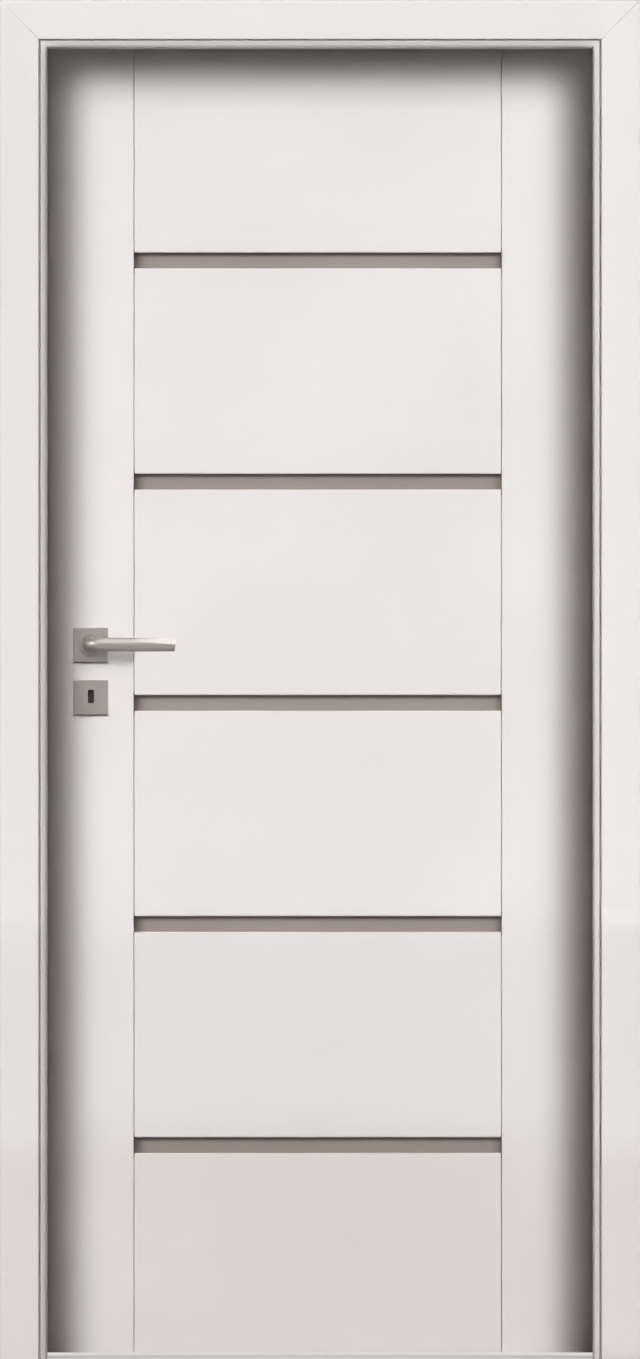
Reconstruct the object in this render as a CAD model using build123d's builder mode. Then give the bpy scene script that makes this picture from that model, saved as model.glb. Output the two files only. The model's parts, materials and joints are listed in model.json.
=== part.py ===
"""A white flush-panel interior door in its adjustable frame, made to go round a 140 mm wall.

Seen from the push side the leaf stands deep in the frame: a mitred casing, the rounded edge of the
lining, then a stile-and-panel leaf whose six panels are parted by five narrow strips of satin glass.
The leaf is rebated, turns on three barrel hinges on the pull side, and has a lever set on square
rosettes that works a mortise lock.

X runs from the lock side to the hinge side, Y from the push side to the pull side, Z up. The origin
is on the outer face of the hinge-side lining, at floor level, in the middle of the wall's thickness.
All sizes are in millimetres.
"""

import os

from build123d import *

os.makedirs("parts", exist_ok=True)

# The doorway and the wall that the frame clasps
WALL_THICKNESS = 140
CLEAR_WIDTH = 820
CLEAR_HEIGHT = 1968

# Frame members. A member's section is drawn in (u, y): u is the distance outward from the opening.
LINING_THICKNESS = 22
REVEAL = 12
CASING_WIDTH = 58
FRONT_CASING_THICKNESS = 12
BACK_CASING_THICKNESS = 19
REBATE_WIDTH = 15
REBATE_DEPTH = 28.5
LINING_ROUND = 3.5
ARRIS = 1.5
MITRE_ARRIS = 1.4
TONGUE_LENGTH = 36
TONGUE_THICKNESS = 5.5
TONGUE_GROOVE_DEPTH = 40
SHADOW_GAP = 2.5

# The seal in the stop
SEAL_GROOVE_START = 5
SEAL_GROOVE_WIDTH = 3.5
SEAL_GROOVE_DEPTH = 7
SEAL_ROOT = 6
SEAL_OVERHANG = 2.5
SEAL_HEIGHT = 3

# The leaf
LEAF_THICKNESS = 40
LIP_THICKNESS = 14.5
LIP_WIDTH = 13
SWING_GAP = 5
STOP_GAP = 8
LOCK_SIDE_GAP = 6.5
FLOOR_GAP = 6
LOCK_STILE_SHOWS = 129.5
HINGE_STILE_SHOWS = 136.5
PANEL_COUNT = 6
STRIP_HEIGHT = 23.5
STRIP_PITCH = 333
FIRST_STRIP_Z = 318
JOINT_GAP = 0.8
JOINT_ARRIS = 1.3
PANEL_ROUND = 2
PANEL_TONGUE = 10
PANEL_TONGUE_THICKNESS = 12
STILE_GROOVE_DEPTH = 10.5
GLASS_THICKNESS = 12
GLASS_BITE = 7.5
GLASS_GROOVE_DEPTH = 8

# The lever set. Its axis is given from the visible edge of the opening.
LEVER_AXIS_IN = 65
LEVER_AXIS_Z = 1071.5
KEY_DROP = 78
KEY_SLOT_RISE = 1.3
ROSETTE_SIDE = 52
ROSETTE_THICKNESS = 8.5
ROSETTE_ARRIS = 1
RING_RADIUS = 18
RING_BORE = 15.4
RING_HEIGHT = 2.5
RING_ARRIS = 0.8
SPIGOT_RADIUS = 9
SPIGOT_BORE = 10
BEARING_CLEARANCE = 0.08
NECK_RADIUS = 12.4
LEVER_RADIUS = 10.25
LEVER_STAND_OFF = 45
LEVER_BEND = 14
LEVER_LENGTH = 129
LEVER_FACET_START = 68
LEVER_FACET_DEPTH = 2.95
LEVER_FACET_TURN = 43
LEVER_END_LEAN = 7
LEVER_END_ROUND = 2.2
GRUB_SCREW_OUT = 4
GRUB_SCREW_RADIUS = 2.5
GRUB_SCREW_DEPTH = 2
SPINDLE_SIDE = 8
SPINDLE_BITE = 26
TURNING_GAP = 0.4
KEYHOLE_WIDTH = 9.2
KEYHOLE_HEIGHT = 20
KEYHOLE_ROUND = 1.5
KEYHOLE_ARRIS = 0.5

# The mortise lock
FOREND_WIDTH = 20
FOREND_THICKNESS = 3
FOREND_TOP = 1135
FOREND_HEIGHT = 235
FOREND_ROUND = 1.5
FOREND_SCREW_EDGE = 13
CASE_THICKNESS = 14
FOLLOWER_RADIUS = 7.2
CASE_DEPTH = 92
CASE_TOP = 1112
CASE_HEIGHT = 186
BOLT_THICKNESS = 10
BOLT_LENGTH = 60
LATCH_HEIGHT = 32
LATCH_RISE = 14
DEAD_BOLT_HEIGHT = 36
DEAD_BOLT_RISE = 4
BOLT_PROUD = 1
BOLT_POCKET_CLEARANCE = 1
LATCH_BEVEL = 8
KEY_SLOT_DEPTH = 3
SCREW_RADIUS = 2.1
SCREW_HEAD_RADIUS = 4
SCREW_HEAD_ANGLE = 90
SCREW_DEPTH = 14

# The angled strike plate
STRIKE_THICKNESS = 2
STRIKE_TOP = 1125
STRIKE_HEIGHT = 180
STRIKE_FACE_WIDTH = 18
STRIKE_POCKET = 12
STRIKE_ROUND = 1.5
STRIKE_WINDOW_CLEARANCE = 2
STRIKE_SCREW_EDGE = 12
STRIKE_MIDDLE_SCREW = 45

# Barrel hinges
HINGE_HEIGHTS = (307, 1024.5, 1742)
BARREL_RADIUS = 7.5
KNUCKLE_HEIGHT = 44
KNUCKLE_GAP = 0.6
KNUCKLE_ROUND = 2
HINGE_AXIS_OUT = 4
HINGE_AXIS_PROUD = 8.5
HINGE_PIN_RADIUS = 3.5
HINGE_PIN_CLEARANCE = 0.08
HINGE_PIN_LENGTH = 36
HINGE_PIN_ROOM = 1
FRAME_ARM_THICKNESS = 6
FRAME_ARM_HEIGHT = 36
FRAME_STUD_RADIUS = 3.5
FRAME_STUD_LENGTH = 16
LEAF_STUD_RADIUS = 4
LEAF_STUD_LENGTH = 32
STUD_SPACING = 22

# How near two places count as one when an edge or a corner is picked
NEAR = 0.01

# Planes across the wall, from the push side to the pull side
WALL_FRONT = -WALL_THICKNESS / 2
WALL_BACK = WALL_THICKNESS / 2
FRONT_FACE = WALL_FRONT - FRONT_CASING_THICKNESS
BACK_FACE = WALL_BACK + BACK_CASING_THICKNESS
STOP_FACE = BACK_FACE - REBATE_DEPTH
LEAF_FRONT = STOP_FACE + STOP_GAP
LEAF_BACK = LEAF_FRONT + LEAF_THICKNESS
LEAF_MIDDLE = (LEAF_FRONT + LEAF_BACK) / 2
LIP_BACK = LEAF_BACK - LIP_THICKNESS
LOCK_MIDDLE = (LEAF_FRONT + LIP_BACK) / 2

# Planes along the wall
OPENING_RIGHT = -LINING_THICKNESS
OPENING_LEFT = OPENING_RIGHT - CLEAR_WIDTH
CASING_OUT = REVEAL + CASING_WIDTH
LEAF_LEFT = OPENING_LEFT - REBATE_WIDTH + LOCK_SIDE_GAP
LEAF_RIGHT = OPENING_RIGHT + REBATE_WIDTH - SWING_GAP
LIP_LEFT = LEAF_LEFT - LIP_WIDTH
LIP_RIGHT = LEAF_RIGHT + LIP_WIDTH
LOCK_STILE_INNER = OPENING_LEFT + LOCK_STILE_SHOWS
HINGE_STILE_INNER = OPENING_RIGHT - HINGE_STILE_SHOWS
LEVER_X = OPENING_LEFT + LEVER_AXIS_IN
HINGE_X = LIP_RIGHT + HINGE_AXIS_OUT
HINGE_Y = LEAF_BACK + HINGE_AXIS_PROUD

# Heights
LEAF_TOP = CLEAR_HEIGHT + REBATE_WIDTH - SWING_GAP
LIP_TOP = LEAF_TOP + LIP_WIDTH
KEYHOLE_Z = LEVER_AXIS_Z - KEY_DROP
KEY_PLATE_Z = KEYHOLE_Z - KEY_SLOT_RISE
LATCH_Z = LEVER_AXIS_Z + LATCH_RISE
DEAD_BOLT_Z = KEYHOLE_Z + DEAD_BOLT_RISE
FOREND_BOTTOM = FOREND_TOP - FOREND_HEIGHT
CASE_BOTTOM = CASE_TOP - CASE_HEIGHT
STRIKE_BOTTOM = STRIKE_TOP - STRIKE_HEIGHT


def save(piece, name):
    """Labels a finished piece and writes it to its own file."""
    piece.part.label = name
    export_step(piece.part, f"parts/{name}.step")


def box_between(low, high, mode=Mode.ADD):
    """A box given by its lowest and highest corners."""
    middle = (Vector(*low) + Vector(*high)) / 2
    size = Vector(*high) - Vector(*low)
    with Locations(middle):
        Box(size.X, size.Y, size.Z, mode=mode)


# Sections of the frame members, in (u, y)
TONGUE_OUTER = REVEAL + TONGUE_THICKNESS
LIP_INNER = REVEAL - SHADOW_GAP
SEAL_GROOVE_END = SEAL_GROOVE_START + SEAL_GROOVE_WIDTH

with BuildSketch() as lining_section:
    with BuildLine():
        Polyline(
            (0, WALL_FRONT),
            (0, STOP_FACE),
            (SEAL_GROOVE_START, STOP_FACE),
            (SEAL_GROOVE_START, STOP_FACE - SEAL_GROOVE_DEPTH),
            (SEAL_GROOVE_END, STOP_FACE - SEAL_GROOVE_DEPTH),
            (SEAL_GROOVE_END, STOP_FACE),
            (REBATE_WIDTH, STOP_FACE),
            (REBATE_WIDTH, WALL_BACK),
            (LINING_THICKNESS, WALL_BACK),
            (LINING_THICKNESS, WALL_FRONT),
            (TONGUE_OUTER, WALL_FRONT),
            (TONGUE_OUTER, WALL_FRONT + TONGUE_GROOVE_DEPTH),
            (LIP_INNER, WALL_FRONT + TONGUE_GROOVE_DEPTH),
            (LIP_INNER, WALL_FRONT),
            close=True,
        )
    make_face()
    fillet(lining_section.vertices().sort_by_distance((0, WALL_FRONT))[0], radius=LINING_ROUND)
    fillet(lining_section.vertices().sort_by_distance((LIP_INNER, WALL_FRONT))[0], radius=ARRIS)
    fillet(lining_section.vertices().sort_by_distance((0, STOP_FACE))[0], radius=ARRIS)

with BuildSketch() as front_casing_section:
    with BuildLine():
        Polyline(
            (REVEAL, FRONT_FACE),
            (CASING_OUT, FRONT_FACE),
            (CASING_OUT, WALL_FRONT),
            (TONGUE_OUTER, WALL_FRONT),
            (TONGUE_OUTER, WALL_FRONT + TONGUE_LENGTH),
            (REVEAL, WALL_FRONT + TONGUE_LENGTH),
            close=True,
        )
    make_face()
    fillet(front_casing_section.vertices().group_by(Axis.Y)[0], radius=ARRIS)

with BuildSketch() as back_casing_section:
    with BuildLine():
        Polyline(
            (REBATE_WIDTH, WALL_BACK),
            (REBATE_WIDTH, BACK_FACE),
            (CASING_OUT, BACK_FACE),
            (CASING_OUT, WALL_BACK),
            close=True,
        )
    make_face()
    fillet(back_casing_section.vertices().group_by(Axis.Y)[-1], radius=ARRIS)

# The seal is a root pushed into the groove and a half-round bulb that stands proud of the stop
SEAL_LEFT = SEAL_GROOVE_START - SEAL_OVERHANG
SEAL_RIGHT = SEAL_GROOVE_END + SEAL_OVERHANG
SEAL_CENTRE = (SEAL_LEFT + SEAL_RIGHT) / 2

with BuildSketch() as seal_section:
    with BuildLine():
        bulb_base = Line((SEAL_LEFT, STOP_FACE), (SEAL_RIGHT, STOP_FACE))
        ThreePointArc(bulb_base @ 1, (SEAL_CENTRE, STOP_FACE + SEAL_HEIGHT), bulb_base @ 0)
    make_face()
    with Locations((SEAL_CENTRE, STOP_FACE - SEAL_ROOT / 2)):
        Rectangle(SEAL_GROOVE_WIDTH, SEAL_ROOT)


# The planes on which a section becomes a jamb or a head: u runs outward, y stays across the wall
FRAME_TOP = CLEAR_HEIGHT + CASING_OUT
FRAME_WIDTH = CLEAR_WIDTH + 2 * CASING_OUT
HINGE_JAMB = Plane(origin=(OPENING_RIGHT, 0, 0), x_dir=(1, 0, 0), z_dir=(0, 0, 1))
LOCK_JAMB = Plane(origin=(OPENING_LEFT, 0, 0), x_dir=(-1, 0, 0), z_dir=(0, 0, -1))
HEAD = Plane(origin=(OPENING_RIGHT + CASING_OUT, 0, CLEAR_HEIGHT), x_dir=(0, 0, 1), z_dir=(-1, 0, 0))
HINGE_MITRE = Plane(origin=(OPENING_RIGHT, 0, CLEAR_HEIGHT), z_dir=(1, 0, -1))
LOCK_MITRE = Plane(origin=(OPENING_LEFT, 0, CLEAR_HEIGHT), z_dir=(-1, 0, -1))


def mitre_groove(mitre, face_y):
    """Eases the two arrises of a mitre on the face at face_y, as one fine V along the joint."""
    along = mitre.z_dir.cross(Vector(0, 1, 0))
    corner = Vector(mitre.origin.X, face_y, mitre.origin.Z)
    with BuildSketch(Plane(origin=corner, x_dir=mitre.z_dir, z_dir=along)) as groove:
        Rectangle(MITRE_ARRIS, MITRE_ARRIS, rotation=45)
    extrude(groove.sketch, amount=2 * CASING_OUT, both=True, mode=Mode.SUBTRACT)


def jamb(section, side, name, face_y=None):
    """One upright member of the frame, mitred at its top."""
    plane, mitre = {"hinge_side": (HINGE_JAMB, HINGE_MITRE), "lock_side": (LOCK_JAMB, LOCK_MITRE)}[side]
    with BuildPart() as upright:
        with BuildSketch(plane):
            add(section.sketch)
        extrude(amount=FRAME_TOP * plane.z_dir.Z)
        split(bisect_by=mitre, keep=Keep.TOP)
        if face_y is not None:
            mitre_groove(mitre, face_y)
    upright.part.label = f"{name}_{side}"
    return upright


def head(section, name, face_y=None):
    """The level member over the opening, mitred at both ends."""
    with BuildPart() as level:
        with BuildSketch(HEAD):
            add(section.sketch)
        extrude(amount=FRAME_WIDTH)
        split(bisect_by=HINGE_MITRE, keep=Keep.BOTTOM)
        split(bisect_by=LOCK_MITRE, keep=Keep.BOTTOM)
        if face_y is not None:
            mitre_groove(HINGE_MITRE, face_y)
            mitre_groove(LOCK_MITRE, face_y)
    level.part.label = f"{name}_head"
    return level


# Lining: three boards round the wall opening
for side in ("hinge_side", "lock_side"):
    save(jamb(lining_section, side, "lining"), f"lining_{side}")
    save(jamb(front_casing_section, side, "front_casing", FRONT_FACE), f"front_casing_{side}")
    save(jamb(seal_section, side, "seal"), f"seal_{side}")
save(head(lining_section, "lining"), "lining_head")
save(head(front_casing_section, "front_casing", FRONT_FACE), "front_casing_head")
save(head(seal_section, "seal"), "seal_head")
save(head(back_casing_section, "back_casing", BACK_FACE), "back_casing_head")

# Rebate casing on the lock side, let in for the strike plate and bored for the bolts
REBATE_LEFT = OPENING_LEFT - REBATE_WIDTH
POCKET_HALF_WIDTH = BOLT_THICKNESS / 2 + BOLT_POCKET_CLEARANCE
POCKET_Y = (LOCK_MIDDLE - POCKET_HALF_WIDTH, LOCK_MIDDLE + POCKET_HALF_WIDTH)
STRIKE_WINDOWS = (
    (LATCH_Z, LATCH_HEIGHT + 2 * STRIKE_WINDOW_CLEARANCE),
    (DEAD_BOLT_Z, DEAD_BOLT_HEIGHT + 2 * STRIKE_WINDOW_CLEARANCE),
)
with BuildPart() as strike_casing:
    add(jamb(back_casing_section, "lock_side", "back_casing", BACK_FACE).part)
    box_between(
        (REBATE_LEFT - STRIKE_THICKNESS, BACK_FACE - STRIKE_FACE_WIDTH, STRIKE_BOTTOM),
        (REBATE_LEFT, BACK_FACE, STRIKE_TOP),
        mode=Mode.SUBTRACT,
    )
    box_between(
        (REBATE_LEFT - STRIKE_FACE_WIDTH, BACK_FACE - STRIKE_THICKNESS, STRIKE_BOTTOM),
        (REBATE_LEFT, BACK_FACE, STRIKE_TOP),
        mode=Mode.SUBTRACT,
    )
    for window_z, window_height in STRIKE_WINDOWS:
        box_between(
            (REBATE_LEFT - STRIKE_THICKNESS - STRIKE_POCKET, POCKET_Y[0], window_z - window_height / 2),
            (REBATE_LEFT, POCKET_Y[1], window_z + window_height / 2),
            mode=Mode.SUBTRACT,
        )
save(strike_casing, "back_casing_lock_side")

# Rebate casing on the hinge side, drilled for the hinge studs
ARM_RIGHT = HINGE_X + BARREL_RADIUS
ARM_MIDDLE = ARM_RIGHT - FRAME_ARM_THICKNESS / 2
FRAME_STUDS = [
    height - KNUCKLE_HEIGHT / 2 + step * STUD_SPACING / 2 for height in HINGE_HEIGHTS for step in (-1, 1)
]
with BuildPart() as hinge_casing:
    add(jamb(back_casing_section, "hinge_side", "back_casing", BACK_FACE).part)
    with Locations([Location((ARM_MIDDLE, BACK_FACE, z), (-90, 0, 0)) for z in FRAME_STUDS]):
        Cylinder(FRAME_STUD_RADIUS, 2 * FRAME_STUD_LENGTH, mode=Mode.SUBTRACT)
save(hinge_casing, "back_casing_hinge_side")

# Angled strike plate, screwed to the casing's face where the leaf's lip covers it
STRIKE_SCREW_X = REBATE_LEFT - STRIKE_FACE_WIDTH / 2
STRIKE_SCREW_HEIGHTS = (
    STRIKE_BOTTOM + STRIKE_SCREW_EDGE,
    LATCH_Z - STRIKE_MIDDLE_SCREW,
    STRIKE_TOP - STRIKE_SCREW_EDGE,
)
STRIKE_SCREWS = [Plane(origin=(STRIKE_SCREW_X, BACK_FACE, z), z_dir=(0, 1, 0)) for z in STRIKE_SCREW_HEIGHTS]
with BuildPart() as strike_plate:
    with BuildSketch(Plane.XY.offset(STRIKE_BOTTOM)):
        with Locations((REBATE_LEFT, BACK_FACE)):
            Rectangle(STRIKE_FACE_WIDTH, STRIKE_THICKNESS, align=(Align.MAX, Align.MAX))
            Rectangle(STRIKE_THICKNESS, STRIKE_FACE_WIDTH, align=(Align.MAX, Align.MAX))
    extrude(amount=STRIKE_HEIGHT)
    corners = strike_plate.edges().filter_by(Axis.Z).sort_by_distance((REBATE_LEFT, BACK_FACE, STRIKE_TOP))
    fillet(corners[0], radius=STRIKE_ROUND)
    for window_z, window_height in STRIKE_WINDOWS:
        box_between(
            (REBATE_LEFT - STRIKE_THICKNESS, POCKET_Y[0], window_z - window_height / 2),
            (REBATE_LEFT, POCKET_Y[1], window_z + window_height / 2),
            mode=Mode.SUBTRACT,
        )
    with Locations(STRIKE_SCREWS):
        CounterSinkHole(SCREW_RADIUS, SCREW_HEAD_RADIUS, SCREW_DEPTH, SCREW_HEAD_ANGLE)
save(strike_plate, "strike_plate")


def on_a_face(edge):
    """Whether an edge lies in the leaf's push-side or pull-side face."""
    return abs((edge @ 0.5).Y - LEAF_MIDDLE) > LEAF_THICKNESS / 2 - NEAR


def stile(outer, inner, lip, name):
    """A stile from its outer edge to its inner edge, rebated along its outer edge and over its top."""
    step = 1 if inner > outer else -1
    tongue_y = (LEAF_MIDDLE - PANEL_TONGUE_THICKNESS / 2, LEAF_MIDDLE + PANEL_TONGUE_THICKNESS / 2)
    with BuildPart() as upright:
        with BuildSketch(Plane.XY.offset(FLOOR_GAP)):
            with BuildLine():
                Polyline(
                    (outer, LEAF_FRONT),
                    (inner, LEAF_FRONT),
                    (inner, tongue_y[0]),
                    (inner - step * STILE_GROOVE_DEPTH, tongue_y[0]),
                    (inner - step * STILE_GROOVE_DEPTH, tongue_y[1]),
                    (inner, tongue_y[1]),
                    (inner, LEAF_BACK),
                    (lip, LEAF_BACK),
                    (lip, LIP_BACK),
                    (outer, LIP_BACK),
                    close=True,
                )
            make_face()
        extrude(amount=LIP_TOP - FLOOR_GAP)
        with BuildSketch(Plane.XY.offset(LEAF_TOP)):
            with Locations(((outer + inner) / 2, LEAF_FRONT)):
                Rectangle(abs(inner - outer), LIP_BACK - LEAF_FRONT, align=(Align.CENTER, Align.MIN))
        extrude(amount=LIP_TOP - LEAF_TOP, mode=Mode.SUBTRACT)
        upright_edges = upright.edges().filter_by(Axis.Z)
        arrises = upright_edges.filter_by(lambda edge: abs((edge @ 0).X - inner) < NEAR).filter_by(on_a_face)
        rims = upright_edges.filter_by(lambda edge: abs((edge @ 0).X - lip) < NEAR)
        fillet(arrises, radius=JOINT_ARRIS)
        fillet(rims, radius=ARRIS)
    upright.part.label = name
    return upright


# Leaf: lock stile, with the mortise for the lock and the bores for the lever set
with BuildPart() as lock_stile:
    add(stile(LEAF_LEFT, LOCK_STILE_INNER, LIP_LEFT, "lock_stile").part)
    box_between(
        (LEAF_LEFT, LOCK_MIDDLE - FOREND_WIDTH / 2, FOREND_BOTTOM),
        (LEAF_LEFT + FOREND_THICKNESS, LOCK_MIDDLE + FOREND_WIDTH / 2, FOREND_TOP),
        mode=Mode.SUBTRACT,
    )
    box_between(
        (LEAF_LEFT, LOCK_MIDDLE - CASE_THICKNESS / 2, CASE_BOTTOM),
        (LEAF_LEFT + FOREND_THICKNESS + CASE_DEPTH, LOCK_MIDDLE + CASE_THICKNESS / 2, CASE_TOP),
        mode=Mode.SUBTRACT,
    )
    with Locations(Location((LEVER_X, LEAF_MIDDLE, LEVER_AXIS_Z), (90, 0, 0))):
        Cylinder(SPIGOT_BORE, 2 * LEAF_THICKNESS, mode=Mode.SUBTRACT)
    with BuildSketch(Plane(origin=(LEVER_X, LEAF_MIDDLE, KEYHOLE_Z), x_dir=(1, 0, 0), z_dir=(0, -1, 0))):
        RectangleRounded(KEYHOLE_WIDTH, KEYHOLE_HEIGHT, KEYHOLE_ROUND)
    extrude(amount=LEAF_THICKNESS, both=True, mode=Mode.SUBTRACT)
save(lock_stile, "lock_stile")

# Leaf: hinge stile, drilled for the slanting studs of the hinges
def leaf_studs(height):
    """The planes of the two studs of one hinge, from the hinge's axis into the leaf's edge."""
    middle = height + KNUCKLE_HEIGHT / 2
    levels = (middle - STUD_SPACING / 2, middle + STUD_SPACING / 2)
    return [Plane(origin=(HINGE_X, HINGE_Y, z), x_dir=(0, 0, 1), z_dir=(-1, -1, 0)) for z in levels]


with BuildPart() as hinge_stile:
    add(stile(LEAF_RIGHT, HINGE_STILE_INNER, LIP_RIGHT, "hinge_stile").part)
    for plane in [plane for height in HINGE_HEIGHTS for plane in leaf_studs(height)]:
        with BuildSketch(plane):
            Circle(LEAF_STUD_RADIUS)
        extrude(amount=LEAF_STUD_LENGTH, mode=Mode.SUBTRACT)
save(hinge_stile, "hinge_stile")

# Leaf: six panels with a tongue down each side and a groove for the glass above and below
PANEL_LEFT = LOCK_STILE_INNER + JOINT_GAP
PANEL_RIGHT = HINGE_STILE_INNER - JOINT_GAP
strip_heights = [FIRST_STRIP_Z + n * STRIP_PITCH for n in range(PANEL_COUNT - 1)]
panel_lows = [FLOOR_GAP] + [z + STRIP_HEIGHT / 2 for z in strip_heights]
panel_highs = [z - STRIP_HEIGHT / 2 for z in strip_heights] + [LEAF_TOP]

for number, (low, high) in enumerate(zip(panel_lows, panel_highs), start=1):
    bottom, top = number == 1, number == PANEL_COUNT
    with BuildPart() as panel:
        box_between((PANEL_LEFT, LEAF_FRONT, low), (PANEL_RIGHT, LEAF_BACK, high))
        if top:
            box_between((PANEL_LEFT, LIP_BACK, high), (PANEL_RIGHT, LEAF_BACK, LIP_TOP))
        fillet(panel.edges().filter_by(on_a_face).filter_by(Axis.Z), radius=JOINT_ARRIS)
        level = panel.edges().filter_by(on_a_face).filter_by(Axis.X)
        at_glass = level.filter_by(lambda edge: FLOOR_GAP + NEAR < (edge @ 0.5).Z < LEAF_TOP - NEAR)
        fillet(at_glass, radius=PANEL_ROUND)
        with Locations((0, LEAF_MIDDLE, (low + high) / 2)):
            with Locations(((PANEL_LEFT + PANEL_RIGHT) / 2, 0)):
                Box(PANEL_RIGHT - PANEL_LEFT + 2 * PANEL_TONGUE, PANEL_TONGUE_THICKNESS, high - low)
        if not bottom:
            box_between(
                (PANEL_LEFT - PANEL_TONGUE, LEAF_MIDDLE - GLASS_THICKNESS / 2, low),
                (PANEL_RIGHT + PANEL_TONGUE, LEAF_MIDDLE + GLASS_THICKNESS / 2, low + GLASS_GROOVE_DEPTH),
                mode=Mode.SUBTRACT,
            )
        if not top:
            box_between(
                (PANEL_LEFT - PANEL_TONGUE, LEAF_MIDDLE - GLASS_THICKNESS / 2, high - GLASS_GROOVE_DEPTH),
                (PANEL_RIGHT + PANEL_TONGUE, LEAF_MIDDLE + GLASS_THICKNESS / 2, high),
                mode=Mode.SUBTRACT,
            )
    save(panel, f"panel_{number}")

# Leaf: five strips of satin glass
for number, height in enumerate(strip_heights, start=1):
    with BuildPart() as strip:
        box_between(
            (
                PANEL_LEFT - GLASS_BITE,
                LEAF_MIDDLE - GLASS_THICKNESS / 2,
                height - STRIP_HEIGHT / 2 - GLASS_BITE,
            ),
            (
                PANEL_RIGHT + GLASS_BITE,
                LEAF_MIDDLE + GLASS_THICKNESS / 2,
                height + STRIP_HEIGHT / 2 + GLASS_BITE,
            ),
        )
    save(strip, f"glass_strip_{number}")

# Mortise lock: case, forend and the two drawn-back bolts
FOREND_SCREWS = [
    Plane(origin=(LEAF_LEFT, LOCK_MIDDLE, z), z_dir=(-1, 0, 0))
    for z in (FOREND_BOTTOM + FOREND_SCREW_EDGE, FOREND_TOP - FOREND_SCREW_EDGE)
]
BOLT_TIP = LEAF_LEFT - BOLT_PROUD
CASE_LEFT = LEAF_LEFT + FOREND_THICKNESS
with BuildPart() as lock_case:
    box_between(
        (CASE_LEFT, LOCK_MIDDLE - CASE_THICKNESS / 2, CASE_BOTTOM),
        (CASE_LEFT + CASE_DEPTH, LOCK_MIDDLE + CASE_THICKNESS / 2, CASE_TOP),
    )
    for bolt_z, bolt_height in ((LATCH_Z, LATCH_HEIGHT), (DEAD_BOLT_Z, DEAD_BOLT_HEIGHT)):
        box_between(
            (CASE_LEFT, LOCK_MIDDLE - BOLT_THICKNESS / 2, bolt_z - bolt_height / 2),
            (BOLT_TIP + BOLT_LENGTH, LOCK_MIDDLE + BOLT_THICKNESS / 2, bolt_z + bolt_height / 2),
            mode=Mode.SUBTRACT,
        )
    with Locations(Location((LEVER_X, LOCK_MIDDLE, LEVER_AXIS_Z), (90, 0, 0))):
        Cylinder(FOLLOWER_RADIUS, 2 * CASE_THICKNESS, mode=Mode.SUBTRACT)
    for side in (-1, 1):
        face_y = LOCK_MIDDLE + side * CASE_THICKNESS / 2
        with BuildSketch(Plane(origin=(LEVER_X, face_y, KEYHOLE_Z), x_dir=(1, 0, 0), z_dir=(0, side, 0))):
            RectangleRounded(KEYHOLE_WIDTH, KEYHOLE_HEIGHT, KEYHOLE_ROUND)
        extrude(amount=-KEY_SLOT_DEPTH, mode=Mode.SUBTRACT)
save(lock_case, "lock_case")

with BuildPart() as lock_forend:
    box_between(
        (LEAF_LEFT, LOCK_MIDDLE - FOREND_WIDTH / 2, FOREND_BOTTOM),
        (LEAF_LEFT + FOREND_THICKNESS, LOCK_MIDDLE + FOREND_WIDTH / 2, FOREND_TOP),
    )
    fillet(lock_forend.edges().filter_by(Axis.X), radius=FOREND_ROUND)
    with Locations(FOREND_SCREWS):
        CounterSinkHole(SCREW_RADIUS, SCREW_HEAD_RADIUS, SCREW_DEPTH, SCREW_HEAD_ANGLE)
    for bolt_z, bolt_height in ((LATCH_Z, LATCH_HEIGHT), (DEAD_BOLT_Z, DEAD_BOLT_HEIGHT)):
        box_between(
            (LEAF_LEFT, LOCK_MIDDLE - BOLT_THICKNESS / 2, bolt_z - bolt_height / 2),
            (CASE_LEFT, LOCK_MIDDLE + BOLT_THICKNESS / 2, bolt_z + bolt_height / 2),
            mode=Mode.SUBTRACT,
        )
save(lock_forend, "lock_forend")

for bolt_name, bolt_z, bolt_height in (
    ("latch_bolt", LATCH_Z, LATCH_HEIGHT),
    ("dead_bolt", DEAD_BOLT_Z, DEAD_BOLT_HEIGHT),
):
    with BuildPart() as bolt:
        box_between(
            (BOLT_TIP, LOCK_MIDDLE - BOLT_THICKNESS / 2, bolt_z - bolt_height / 2),
            (BOLT_TIP + BOLT_LENGTH, LOCK_MIDDLE + BOLT_THICKNESS / 2, bolt_z + bolt_height / 2),
        )
        if bolt_name == "latch_bolt":
            nose = bolt.faces().sort_by(Axis.X)[0].edges().filter_by(Axis.Z).sort_by(Axis.Y)[0]
            chamfer(nose, length=LATCH_BEVEL)
    save(bolt, bolt_name)

# Square rosettes and key plates. What stands on the push side is mirrored to the pull side.
OTHER_FACE = Plane(origin=(0, LEAF_MIDDLE, 0), z_dir=(0, 1, 0))


def at_face(x, z, height=0):
    """A plane on the leaf's push-side face, turned to look out of it."""
    return Plane(origin=(x, LEAF_FRONT - height, z), x_dir=(1, 0, 0), z_dir=(0, -1, 0))


def save_both(piece, name):
    """Writes a push-side piece and its mirror image on the pull side."""
    save(piece, f"{name}_front")
    with BuildPart() as opposite:
        mirror(piece.part, about=OTHER_FACE)
    save(opposite, f"{name}_back")


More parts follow.
